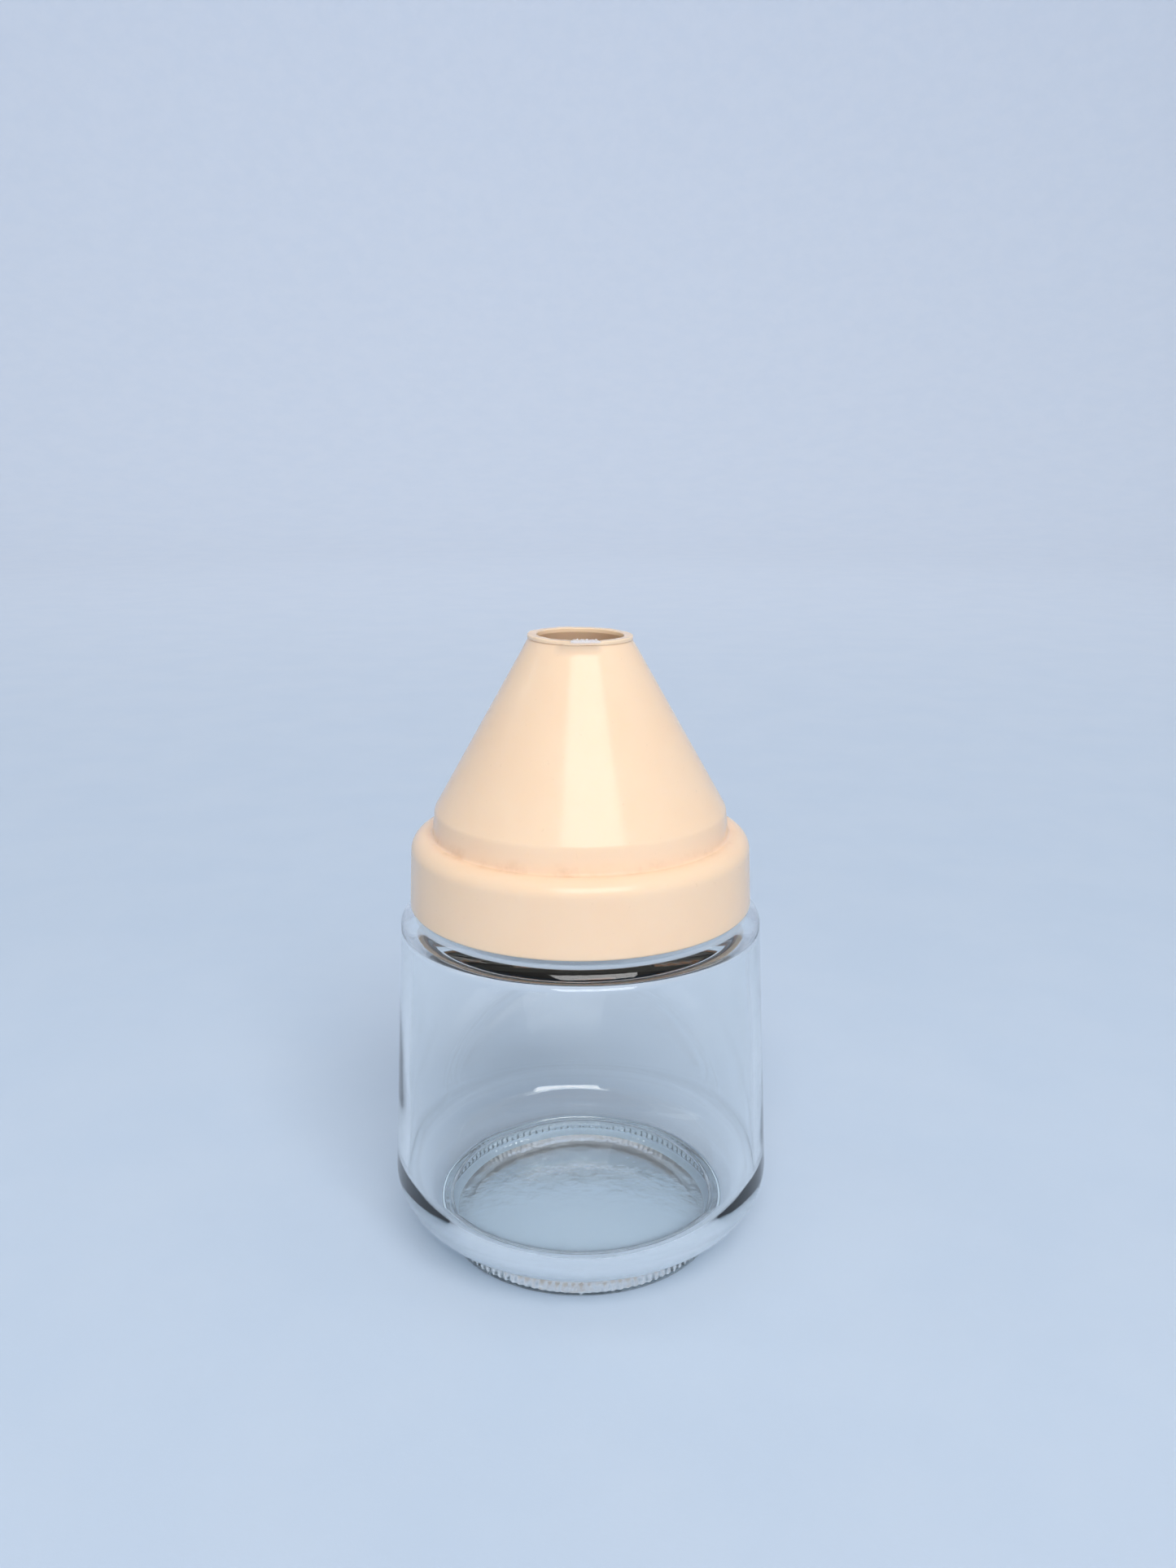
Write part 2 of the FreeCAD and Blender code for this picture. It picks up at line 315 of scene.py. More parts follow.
def vertex_places(piece: bpy.types.Object) -> np.ndarray:
    """The places of a piece's vertices, one row each."""
    places = np.empty(len(piece.data.vertices) * 3)
    piece.data.vertices.foreach_get("co", places)
    return places.reshape(-1, 3)


def write_layer(piece: bpy.types.Object, name: str, values: np.ndarray) -> None:
    """Stores one value for each vertex under a name that a finish reads."""
    layer = piece.data.attributes.new(name, "FLOAT", "POINT")
    layer.data.foreach_set("value", values.astype(np.float32))


def sum_volume(mesh: bpy.types.Mesh) -> float:
    """The volume that a mesh's faces enclose, negative if they point inwards."""
    mesh.calc_loop_triangles()
    places = np.empty(len(mesh.vertices) * 3)
    mesh.vertices.foreach_get("co", places)
    corners = np.empty(len(mesh.loop_triangles) * 3, dtype=np.int64)
    mesh.loop_triangles.foreach_get("vertices", corners)
    triangles = places.reshape(-1, 3)[corners.reshape(-1, 3)]
    crosses = np.cross(triangles[:, 1], triangles[:, 2])
    return float(np.einsum("ij,ij->i", triangles[:, 0], crosses).sum() / 6)


# ---------------------------------------------------------------------------------------------
# Finishes
# ---------------------------------------------------------------------------------------------
class Shader:
    """The node tree of one material, with the steps that the finishes share."""

    def __init__(self, name: str) -> None:
        """Starts a material with a bare Principled shader."""
        self.material = bpy.data.materials.new(name)
        self.material.use_nodes = True
        self.nodes = self.material.node_tree.nodes
        self.links = self.material.node_tree.links
        self.surface = self.nodes["Principled BSDF"]
        self.output = self.nodes["Material Output"]
        self.place = self.nodes.new("ShaderNodeTexCoord").outputs["Object"]

    def set(self, **values: object) -> None:
        """Sets constants on the Principled shader, with _ for the spaces in their names."""
        for key, value in values.items():
            self.surface.inputs[key.replace("_", " ")].default_value = value

    def noise(
        self,
        size: float,
        detail: float = 3.0,
        roughness: float = 0.5,
        stretch: tuple[float, float, float] = (1.0, 1.0, 1.0),
    ) -> bpy.types.NodeSocket:
        """Noise in the piece's own space.

        Args:
            size: width of its largest blotches.
            detail: number of finer layers.
            roughness: strength of the finer layers.
            stretch: how much longer the blotches are along each axis.

        Returns:
            The noise's value, around 0.5.
        """
        place = self.nodes.new("ShaderNodeMapping")
        place.inputs["Scale"].default_value = [1 / s for s in stretch]
        self.links.new(self.place, place.inputs["Vector"])
        noise = self.nodes.new("ShaderNodeTexNoise")
        noise.inputs["Scale"].default_value = 1 / size
        noise.inputs["Detail"].default_value = detail
        noise.inputs["Roughness"].default_value = roughness
        self.links.new(place.outputs[0], noise.inputs["Vector"])
        return noise.outputs["Fac"]

    def spread(
        self, source: bpy.types.NodeSocket, low: float, high: float, bottom: float, top: float
    ) -> bpy.types.NodeSocket:
        """Maps source from low..high to bottom..top, smoothly and no further."""
        node = self.nodes.new("ShaderNodeMapRange")
        node.interpolation_type = "SMOOTHSTEP"
        limits = {"From Min": low, "From Max": high, "To Min": bottom, "To Max": top}
        for key, value in limits.items():
            node.inputs[key].default_value = value
        self.links.new(source, node.inputs["Value"])
        return node.outputs["Result"]

    def blend(
        self, share: bpy.types.NodeSocket, first: object, second: object
    ) -> bpy.types.NodeSocket:
        """Mixes two colours, each a constant or a socket, by share."""
        node = self.nodes.new("ShaderNodeMix")
        node.data_type = "RGBA"
        self.links.new(share, node.inputs["Factor"])
        for socket, value in ((node.inputs[6], first), (node.inputs[7], second)):
            if isinstance(value, bpy.types.NodeSocket):
                self.links.new(value, socket)
            else:
                socket.default_value = value
        return node.outputs[2]

    def math(self, kind: str, first: object, second: object) -> bpy.types.NodeSocket:
        """One Math node on two values, each a constant or a socket."""
        node = self.nodes.new("ShaderNodeMath")
        node.operation = kind
        for socket, value in zip(node.inputs, (first, second)):
            if isinstance(value, bpy.types.NodeSocket):
                self.links.new(value, socket)
            else:
                socket.default_value = value
        return node.outputs[0]

    def attribute(self, name: str) -> bpy.types.NodeSocket:
        """The value of one of the mesh's own attributes."""
        node = self.nodes.new("ShaderNodeAttribute")
        node.attribute_name = name
        return node.outputs["Fac"]

    def bump(self, *layers: tuple[bpy.types.NodeSocket, float]) -> None:
        """Raises the surface by each layer's value times its depth."""
        normal: Optional[bpy.types.NodeSocket] = None
        for source, depth in layers:
            node = self.nodes.new("ShaderNodeBump")
            node.inputs["Strength"].default_value = 1.0
            node.inputs["Distance"].default_value = depth
            self.links.new(source, node.inputs["Height"])
            if normal is not None:
                self.links.new(normal, node.inputs["Normal"])
            normal = node.outputs["Normal"]
        self.links.new(normal, self.surface.inputs["Normal"])

    def drive(self, socket: str, source: bpy.types.NodeSocket) -> None:
        """Feeds one of the Principled shader's inputs."""
        self.links.new(source, self.surface.inputs[socket])


@dataclass(frozen=True)
class ClearGlass:
    """Pressed flint glass, faintly green where it is thick."""

    tint: Colour = (0.992, 0.998, 0.996, 1.0)
    bend: float = 1.52
    roughness: float = 0.004
    body_colour: Colour = (0.55, 0.86, 0.80, 1.0)
    body_density: float = 4.0
    wave: float = 0.018
    wave_depth: float = 0.00006
    frosted: float = 0.2
    dimple: float = 0.0045
    dimple_depth: float = 0.00022
    shadow_blend: float = 0.3
    shadow_face: Colour = (0.91, 0.94, 0.95, 1.0)
    shadow_edge: Colour = (0.02, 0.05, 0.07, 1.0)
    shadow_heel: Colour = (0.22, 0.29, 0.33, 1.0)

    def material(self) -> bpy.types.Material:
        """Builds the material."""
        shader = Shader("pressed_glass")
        shader.set(Base_Color=self.tint, IOR=self.bend, Transmission_Weight=1.0)
        frost = shader.attribute("frost")
        shader.drive("Roughness", shader.spread(frost, 0.0, 1.0, self.roughness, self.frosted))
        dimples = shader.math("MULTIPLY", frost, shader.noise(self.dimple, detail=2.0))
        waves = shader.noise(self.wave, detail=1.0)
        shader.bump((waves, self.wave_depth), (dimples, self.dimple_depth))
        body = shader.nodes.new("ShaderNodeVolumeAbsorption")
        body.inputs["Color"].default_value = self.body_colour
        body.inputs["Density"].default_value = self.body_density
        shader.links.new(body.outputs[0], shader.output.inputs["Volume"])
        self.let_lamps_through(shader)
        return shader.material

    def let_lamps_through(self, shader: Shader) -> None:
        """Lets light from the lamps reach what is behind the glass.

        Less gets through where it meets the glass at a slant, and where the thick heel bends it
        away.
        """
        nodes, links = shader.nodes, shader.links
        slant = nodes.new("ShaderNodeLayerWeight")
        slant.inputs["Blend"].default_value = self.shadow_blend
        tint = shader.blend(slant.outputs["Facing"], self.shadow_face, self.shadow_edge)
        tint = shader.blend(shader.attribute("heel"), tint, self.shadow_heel)
        clear = nodes.new("ShaderNodeBsdfTransparent")
        links.new(tint, clear.inputs["Color"])
        path = nodes.new("ShaderNodeLightPath")
        mix = nodes.new("ShaderNodeMixShader")
        links.new(path.outputs["Is Shadow Ray"], mix.inputs["Fac"])
        links.new(shader.surface.outputs[0], mix.inputs[1])
        links.new(clear.outputs[0], mix.inputs[2])
        links.new(mix.outputs[0], shader.output.inputs["Surface"])


@dataclass(frozen=True)
class CreamPlastic:
    """Cream moulded plastic: soft gloss, a little rubbed, tan specks, painted shade at the
    collar's foot.
    """

    colour: Colour = from_screen(252, 216, 184)
    shade: Colour = from_screen(250, 211, 177)
    scar: Colour = from_screen(240, 230, 226)
    # tan for the specks, and for the painted shade in the corner at the foot of the collar
    soil_and_shade: Colour = from_screen(214, 176, 138)
    mottle_size: float = 0.014
    speck_size: float = 0.0011
    # size of the blotches that break up the painted shade at the collar's foot
    shade_blotch_size: float = 0.006
    rub_size: float = 0.02
    scuff_size: float = 0.0008
    grain: tuple[float, float] = (0.0007, 0.000006)  # width and depth of the skin's grain
    swell: tuple[float, float] = (0.009, 0.00003)
    torn: tuple[float, float] = (0.0003, 0.0002)

    def material(self) -> bpy.types.Material:
        """Builds the material."""
        shader = Shader("cream_plastic")
        shader.set(
            IOR=1.49,
            Specular_IOR_Level=0.25,
            Subsurface_Weight=0.35,
            Subsurface_Radius=(1.0, 0.8, 0.55),
            Subsurface_Scale=0.0035,
        )
        mottle = shader.spread(shader.noise(self.mottle_size, 3.0), 0.35, 0.7, 0.0, 0.5)
        colour = shader.blend(mottle, self.colour, self.shade)
        specks = shader.spread(shader.noise(self.speck_size, 2.0), 0.70, 0.78, 0.0, 0.16)
        colour = shader.blend(specks, colour, self.soil_and_shade)
        # painted shade: darker tan laid in the corner at the collar's foot, broken up into
        # blotches
        blotches = shader.spread(shader.noise(self.shade_blotch_size, 4.0, 0.65), 0.45, 0.8, 0.0, 0.45)
        corner_shade = shader.math("MULTIPLY", shader.attribute("soil_and_shade"), blotches)
        colour = shader.blend(corner_shade, colour, self.soil_and_shade)
        scar = shader.attribute("scar")
        colour = shader.blend(scar, colour, self.scar)
        shader.drive("Base Color", colour)
        rubbed = shader.spread(shader.noise(self.rub_size, 4.0, 0.6), 0.4, 0.75, 0.17, 0.24)
        scratches = shader.noise(self.scuff_size, 3.0, 0.6, stretch=(1.0, 1.0, 5.0))
        scuffs = shader.spread(scratches, 0.64, 0.8, 0.0, 0.05)
        rough = shader.math("ADD", rubbed, scuffs)
        rough = shader.math("MAXIMUM", rough, shader.math("MULTIPLY", scar, 0.7))
        shader.drive("Roughness", rough)
        shader.bump(
            (shader.noise(self.grain[0], 2.0), self.grain[1]),
            (shader.noise(self.swell[0], 2.0), self.swell[1]),
            (shader.math("MULTIPLY", scar, shader.noise(self.torn[0], 3.0, 0.7)), self.torn[1]),
        )
        return shader.material


@dataclass(frozen=True)
class SoftSeal:
    """Olive grey rubber, matte, with a dusting of talc."""

    colour: Colour = from_screen(160, 160, 143)
    talc: Colour = from_screen(178, 177, 162)
    dust_size: float = 0.003
    grain: tuple[float, float] = (0.0004, 0.00002)

    def material(self) -> bpy.types.Material:
        """Builds the material."""
        shader = Shader("soft_seal")
        dust = shader.spread(shader.noise(self.dust_size, 4.0, 0.6), 0.45, 0.65, 0.0, 1.0)
        shader.drive("Base Color", shader.blend(dust, self.colour, self.talc))
        shader.drive("Roughness", shader.spread(dust, 0.0, 1.0, 0.6, 0.85))
        shader.bump((shader.noise(self.grain[0], 2.0), self.grain[1]))
        return shader.material


@dataclass(frozen=True)
class BluePaper:
    """Pale blue background paper."""

    colour: Colour = from_screen(196, 212, 231)
    fibre: Colour = from_screen(199, 214, 232)
    cloud_size: float = 0.05
    grain: tuple[float, float] = (0.0012, 0.00003)

    def material(self) -> bpy.types.Material:
        """Builds the material."""
        shader = Shader("blue_paper")
        shader.set(Roughness=0.9, Specular_IOR_Level=0.2)
        cloud = shader.spread(shader.noise(self.cloud_size, 4.0, 0.6), 0.3, 0.7, 0.0, 1.0)
        shader.drive("Base Color", shader.blend(cloud, self.colour, self.fibre))
        shader.bump((shader.noise(self.grain[0], 3.0, 0.7), self.grain[1]))
        return shader.material


# ---------------------------------------------------------------------------------------------
# Thread between neck and cap
# ---------------------------------------------------------------------------------------------
@dataclass(frozen=True)
class Thread:
    """The six-start thread: ridges round the neck and lugs in the cap."""

    starts: int = 6
    lead: float = 0.018
    ridge_height: float = 0.0972
    ridge_sweep: float = math.radians(46)
    lug_start: float = math.radians(12)
    lug_sweep: float = math.radians(20)
    ridge_half_width: float = 0.00065
    lug_half_width: float = 0.0005
    flank: float = 0.0003
    run_out: float = math.radians(3)

    def relief(
        self,
        angles: np.ndarray,
        height: float,
        start: float,
        sweep: float,
        base: float,
        half_width: float,
    ) -> np.ndarray:
        """How fully a rib stands out, from 0 to 1.

        Args:
            angles: where it is wanted round the axis.
            height: where it is wanted along the axis.
            start: angle at which the first rib starts.
            sweep: angle that a rib covers.
            base: height of a rib's middle at its start.
            half_width: half the height of its crest.

        Returns:
            One value for each angle.
        """
        along = (angles - start) % (2 * math.pi / self.starts)
        middle = base + self.lead * along / (2 * math.pi)
        across = 1 - smooth_step(half_width, half_width + self.flank, np.abs(height - middle))
        rise = smooth_step(0.0, self.run_out, along)
        fall = 1 - smooth_step(sweep - self.run_out, sweep, along)
        return across * rise * fall

    def ridges(self, angles: np.ndarray, height: float) -> np.ndarray:
        """How fully the neck's ridges stand out."""
        return self.relief(
            angles, height, 0.0, self.ridge_sweep, self.ridge_height, self.ridge_half_width
        )

    def lugs(self, angles: np.ndarray, height: float) -> np.ndarray:
        """How fully the cap's lugs stand out. They run half a thread pitch below the ridges."""
        turn = self.lug_start / (2 * math.pi) - 0.5 / self.starts
        base = self.ridge_height + turn * self.lead
        return self.relief(
            angles, height, self.lug_start, self.lug_sweep, base, self.lug_half_width
        )


# ---------------------------------------------------------------------------------------------
# Sub-assemblies
# ---------------------------------------------------------------------------------------------
@dataclass(frozen=True)
class GlassJar:
    """The jar: stepped, knurled foot, domed base, wide body and threaded neck."""

    thread: Thread
    foot_radius: float = 0.0359
    foot_inner_radius: float = 0.0330
    foot_round: float = 0.0007
    foot_blend: float = 0.0008
    heel_height: float = 0.0073
    heel_radius: float = 0.0486
    heel_round: float = 0.0115
    shoulder_radius: float = 0.04435
    shoulder_height: float = 0.088
    shoulder_round: float = 0.004
    neck_radius: float = 0.0376
    neck_blend: float = 0.001
    bead_radius: float = 0.0389
    bead_height: float = 0.0912
    bead_width: float = 0.0026
    bead_round: float = 0.0008
    mouth_height: float = 0.1035
    mouth_round: float = 0.0011
    mouth_radius: float = 0.0349
    inner_shoulder_radius: float = 0.04165
    inner_shoulder_height: float = 0.0835
    inner_shoulder_rise: float = 0.0015
    inner_shoulder_round: float = 0.0022
    inner_neck_round: float = 0.0025
    inner_heel_radius: float = 0.04575
    inner_heel_round: float = 0.014
    floor_height: float = 0.0104
    floor_middle: float = 0.0058
    push_up_height: float = 0.0034
    push_up_edge: float = 0.001
    push_up_radius: float = 0.029
    ridge_radius: float = 0.03895
    push_up_reach: float = 0.026  # the arc's corners reach this far out
    floor_reach: float = 0.036
    foot_wall_step: float = 0.00028
    neck_step: float = 0.00032
    knurls: int = 120
    knurl_middle: float = 0.0021
    knurl_half_height: float = 0.0017
    knurl_half_width: float = 0.0007
    knurl_depth: float = 0.00045
    knurl_stagger: float = 0.00012
    even_radius: float = 0.02  # the middle of the floor has no waves
    wave_height: float = 0.00005

    def outline(self) -> Outline:
        """The jar's half section, from the middle of its underside round to the inside floor."""
        bead_low = self.bead_height - self.bead_width / 2
        bead_high = self.bead_height + self.bead_width / 2
        rise = self.inner_shoulder_height + self.inner_shoulder_rise
        push_up_edge = (self.push_up_radius, self.push_up_edge)
        push_up = dome(push_up_edge, self.push_up_height, self.push_up_reach)
        floor_edge = (self.inner_heel_radius, self.floor_height)
        floor = dome(floor_edge, self.floor_middle, self.floor_reach)
        return Outline(
            corners=(
                *reversed(push_up),
                Corner(*push_up_edge),
                Corner(self.foot_inner_radius, 0.0, self.foot_round),
                Corner(self.foot_radius, 0.0, self.foot_round, step=self.foot_wall_step),
                Corner(self.foot_radius, self.heel_height, self.foot_blend),
                Corner(self.heel_radius, self.heel_height, self.heel_round),
                Corner(self.shoulder_radius, self.shoulder_height, self.shoulder_round),
                Corner(self.neck_radius, self.shoulder_height, self.neck_blend),
                Corner(self.neck_radius, bead_low),
                Corner(self.bead_radius, bead_low, self.bead_round),
                Corner(self.bead_radius, bead_high, self.bead_round),
                Corner(self.neck_radius, bead_high, step=self.neck_step),
                Corner(self.neck_radius, self.mouth_height, self.mouth_round),
                Corner(self.mouth_radius, self.mouth_height, self.mouth_round),
                Corner(self.mouth_radius, rise, self.inner_neck_round),
                Corner(
                    self.inner_shoulder_radius,
                    self.inner_shoulder_height,
                    self.inner_shoulder_round,
                ),
                Corner(*floor_edge, self.inner_heel_round),
                *floor,
            ),
            closed=False,
            arc_turn=math.radians(6),
        )

    def on_foot_wall(self, ring: Ring) -> bool:
        """True on the foot's outer wall, which carries the knurls."""
        top = self.heel_height - self.foot_blend
        return abs(ring[0] - self.foot_radius) < ON_WALL and ring[1] < top

    def shape(
        self, radius: float, height: float, angles: np.ndarray
    ) -> tuple[np.ndarray, np.ndarray]:
        """Raises the knurls and ridges, and makes the inside slightly uneven.

        Args:
            radius: the plain ring's radius.
            height: the plain ring's height.
            angles: where the ring's points are.

        Returns:
            The radii and heights of the points.
        """
        radii, heights = plain(radius, height, angles)
        if self.on_foot_wall((radius, height)):
            radii += self.knurling(angles, height)
        if abs(radius - self.neck_radius) < ON_WALL:
            radii += (self.ridge_radius - self.neck_radius) * self.thread.ridges(angles, height)
        if self.on_inner_wall((radius, height)):
            radii += self.waves(angles, height)
        return radii, heights

    def on_inner_wall(self, ring: Ring) -> bool:
        """True on the inside of the jar, from the outer part of its floor to the shoulder."""
        radius, height = ring
        between = self.floor_middle < height < self.inner_shoulder_height
        return between and self.even_radius < radius < self.inner_wall(height) + ON_WALL

    def inner_wall(self, height: float) -> float:
        """Radius of the inside wall at a height, before its corners are rounded."""
        span = self.inner_shoulder_height - self.floor_height
        share = min(1.0, max(0.0, (height - self.floor_height) / span))
        if height > self.inner_shoulder_height:
            share = (height - self.inner_shoulder_height) / self.inner_shoulder_rise
            step = self.inner_shoulder_radius - self.mouth_radius
            return self.inner_shoulder_radius - step * min(1.0, share)
        lean = self.inner_shoulder_radius - self.inner_heel_radius
        return self.inner_heel_radius + lean * share

    def knurling(self, angles: np.ndarray, height: float) -> np.ndarray:
        """How far the row of short upright knurls stands out, each a little different."""
        pitch = 2 * math.pi / self.knurls
        number = np.round(angles / pitch)
        vary = 0.8 + 0.2 * np.sin(number * 12.9) * np.sin(number * 4.1)
        across = (angles - number * pitch) * self.foot_radius / self.knurl_half_width
        middle = self.knurl_middle + self.knurl_stagger * np.sin(number * 7.7)
        along = (height - middle) / self.knurl_half_height
        crown = np.clip(1 - across**2, 0.0, 1.0) * np.clip(1 - along**4, 0.0, 1.0)
        return self.knurl_depth * vary * crown**0.6

    def waves(self, angles: np.ndarray, height: float) -> np.ndarray:
        """The slow unevenness that the plunger leaves on the inside of pressed glass."""
        share = height / self.shoulder_height
        swell = np.sin(3 * angles + 5 * share) + 0.7 * np.sin(5 * angles - 9 * share + 1.3)
        swell += 0.5 * np.sin(9 * angles + 14 * share + 0.4) + 0.6 * math.sin(11 * share)
        fade = math.sin(math.pi * min(1.0, max(0.0, share)))
        return self.wave_height * fade * swell

    def mark(self, piece: bpy.types.Object) -> None:
        """Writes where the heel is, and the underside, which the mould leaves frosted."""
        places = vertex_places(piece)
        radii = np.hypot(places[:, 0], places[:, 1])
        low = places[:, 2] < (self.push_up_height + self.floor_middle) / 2
        write_layer(piece, "frost", (radii < self.foot_inner_radius) & low)
        round_top = self.heel_height + self.heel_round
        below = 1 - smooth_step(round_top * 0.8, round_top, places[:, 2])
        outside = smooth_step(self.foot_inner_radius, self.foot_radius, radii)
        write_layer(piece, "heel", below * outside)

    def build(self) -> bpy.types.Object:
        """Builds the jar and sets it in the frame."""
        piece = Lathe(360).turn("jar_glass", self.outline(), self.shape, self.on_foot_wall)
        self.mark(piece)
        piece.data.materials.append(ClearGlass().material())
        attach(piece, Body.JAR.value)
        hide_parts("glass_jar")
        return piece


@dataclass(frozen=True)
class ConeCap:
    """The cap: skirt with lugs, rounded ledge, collar and hollow cone with a roughly cut tip."""

    thread: Thread
    skirt_foot_radius: float = 0.0421
    skirt_radius: float = 0.04125
    skirt_height: float = 0.0892
    skirt_edge_round: float = 0.0005
    ledge_height: float = 0.107
    ledge_round: float = 0.004
    collar_radius: float = 0.0362
    collar_blend: float = 0.0007
    cone_radius: float = 0.0355
    cone_height: float = 0.113
    cone_round: float = 0.0026
    lip_radius: float = 0.01255
    lip_height: float = 0.0009
    lip_step: float = 0.00025
    lip_round: float = 0.0003
    total_height: float = 0.155
    entrance_radius: float = 0.01035
    entrance_length: float = 0.001
    cap_wall: float = 0.0018
    skirt_bore: float = 0.03935
    skirt_draft: float = 0.00045
    seat_height: float = 0.1046
    seat_overhang: float = 0.0006
    seat_round: float = 0.0005
    retainer_radius: float = 0.0386
    retainer_height: float = 0.103
    retainer_slope: float = 0.0008
    retainer_hook: float = 0.00035
    lug_radius: float = 0.03795
    bore_least: float = 0.038
    bore_top: float = 0.1005  # below the retaining rib
    scar_angle: float = math.radians(-84)
    scar_reach: float = math.radians(17)
    scar_height: float = 0.00055
    scar_edges: tuple[float, float] = (0.0007, 0.0001)
    # painted shade: distances from the corner at the collar's foot where it is full and where it
    # has faded out
    corner_shade_edges: tuple[float, float] = (0.0006, 0.0026)
    rim_tilt: float = 0.018
    tilt_reach: float = 0.004
    wobble_height: float = 0.00004
    fine_reach: float = 0.0025  # the part below the cut edge that has more points

    def slope(self) -> float:
        """How much the cone narrows for each metre of height."""
        run = self.cone_radius - self.lip_radius + self.lip_step
        return run / (self.total_height - self.lip_height - self.cone_height)

    def outline(self) -> Outline:
        """The cap's section, up the outside, over the lip and down the inside."""
        slope = self.slope()
        wall = self.cap_wall * math.hypot(1, slope)
        inner_tip = self.total_height - self.entrance_length
        inner_radius = self.cone_radius - wall
        inner_height = inner_tip - (inner_radius - self.entrance_radius) / slope
        lip_foot = self.total_height - self.lip_height
        skirt_mouth = self.skirt_bore + self.skirt_draft
        return Outline(
            corners=(
                Corner(skirt_mouth, self.skirt_height, self.skirt_edge_round),
                Corner(self.skirt_foot_radius, self.skirt_height, self.skirt_edge_round),
                Corner(self.skirt_radius, self.ledge_height, self.ledge_round),
                Corner(self.collar_radius, self.ledge_height, self.collar_blend),
                Corner(self.cone_radius, self.cone_height, self.cone_round),
                Corner(self.lip_radius - self.lip_step, lip_foot),
                Corner(self.lip_radius, lip_foot, step=0.0002),
                Corner(self.lip_radius, self.total_height, self.lip_round, step=0.0003),
                Corner(self.entrance_radius, self.total_height, self.lip_round, step=0.0002),
                Corner(self.entrance_radius, inner_tip),
                Corner(inner_radius, inner_height, self.cone_round),
                Corner(self.collar_radius - self.cap_wall - self.seat_overhang, self.seat_height),
                Corner(self.skirt_bore, self.seat_height, self.seat_round),
                Corner(self.skirt_bore, self.retainer_height + self.retainer_hook),
                Corner(self.retainer_radius, self.retainer_height),
                Corner(self.skirt_bore, self.retainer_height - self.retainer_slope, step=0.0004),
            ),
            closed=True,
            arc_turn=math.radians(7),
        )

    def near_tip(self, ring: Ring) -> bool:
        """True close to the lip, where the cut edge needs more points."""
        return ring[1] > self.total_height - self.fine_reach

    def shape(
        self, radius: float, height: float, angles: np.ndarray
    ) -> tuple[np.ndarray, np.ndarray]:
        """Adds the lugs, the uneven tip and the ragged cut at its front.

        Args:
            radius: the plain ring's radius.
            height: the plain ring's height.
            angles: where the ring's points are.

        Returns:
            The radii and heights of the points.
        """
        radii, heights = plain(radius, height, angles)
        if self.in_bore((radius, height)):
            reach = radius - self.lug_radius
            radii -= reach * self.thread.lugs(angles, height)
        tip = smooth_step(self.total_height - self.tilt_reach, self.total_height, height)
        heights -= tip * self.rim_tilt * radius * np.cos(angles)
        if self.near_tip((radius, height)):
            near_top = smooth_step(self.total_height - self.lip_height, self.total_height, height)
            middle = (self.lip_radius + self.entrance_radius) / 2
            crest = 1 - abs(radius - middle) / (self.lip_radius - self.entrance_radius)
            heights += near_top * self.scar_height * self.rag(angles) * crest
            if radius > self.lip_radius - self.lip_step:
                radii -= self.wear(angles) * self.lip_step
            wobble = np.sin(7 * angles + 0.6) + 0.6 * np.sin(13 * angles + 2.1)
            wobble += 0.4 * np.sin(29 * angles)
            heights += near_top * self.wobble_height * wobble
        return radii, heights

    def in_bore(self, ring: Ring) -> bool:
        """True on the inside of the skirt below the retaining rib."""
        low = self.skirt_height + self.skirt_edge_round
        beside = self.bore_least < ring[0] < self.skirt_bore + self.skirt_draft
        return beside and low < ring[1] < self.bore_top

    def wear(self, angles: np.ndarray) -> np.ndarray:
        """Where the lip's step has been trimmed away, 1 in the middle of the front."""
        away = np.abs(turn_between(angles, self.scar_angle - math.radians(8)))
        return 1 - smooth_step(math.radians(16), math.radians(30), away)

    def rag(self, angles: np.ndarray) -> np.ndarray:
        """The ragged crest of the cut at the front of the tip, from about 0 to 1."""
        away = np.abs(turn_between(angles, self.scar_angle))
        cover = 1 - smooth_step(self.scar_reach * 0.75, self.scar_reach, away)
        teeth = 0.62 + 0.2 * np.sin(61 * angles + 0.8) + 0.14 * np.sin(97 * angles + 2.2)
        teeth += 0.12 * np.sin(151 * angles + 1.1)
        return cover * np.clip(teeth, 0.0, 1.0)

    def mark(self, piece: bpy.types.Object) -> None:
        """Writes where the cut is, and the corner at the collar's foot that gets painted shade,
        for the finish to read.
        """
        places = vertex_places(piece)
        radii = np.hypot(places[:, 0], places[:, 1])
        angles = np.arctan2(places[:, 1], places[:, 0])
        low, full = (self.total_height - below for below in self.scar_edges)
        high = smooth_step(low, full, places[:, 2])
        scar = high * (self.rag(angles) > 0.05)
        # painted shade: full in the corner at the collar's foot, gone a few millimetres away
        corner = np.hypot(radii - self.collar_radius, places[:, 2] - self.ledge_height)
        soil_and_shade = 1 - smooth_step(*self.corner_shade_edges, corner)
        write_layer(piece, "scar", scar)
        write_layer(piece, "soil_and_shade", soil_and_shade)

    def build(self) -> bpy.types.Object:
        """Builds the cap and sets it in the frame."""
        piece = Lathe(360).turn("cap_moulding", self.outline(), self.shape, self.near_tip)
        self.mark(piece)
        piece.data.materials.append(CreamPlastic().material())
        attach(piece, Body.CAP.value)
        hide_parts("cone_cap")
        return piece


@dataclass(frozen=True)
class SealingRing:
    """The soft ring under the cap's ledge, which keeps its shape from the frame."""

    node: str = "sealing_ring"

    def dress(self) -> bpy.types.Object:
        """Gives the ring its finish."""
        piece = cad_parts[self.node]
        piece.data.materials.clear()
        piece.data.materials.append(SoftSeal().material())
        return piece


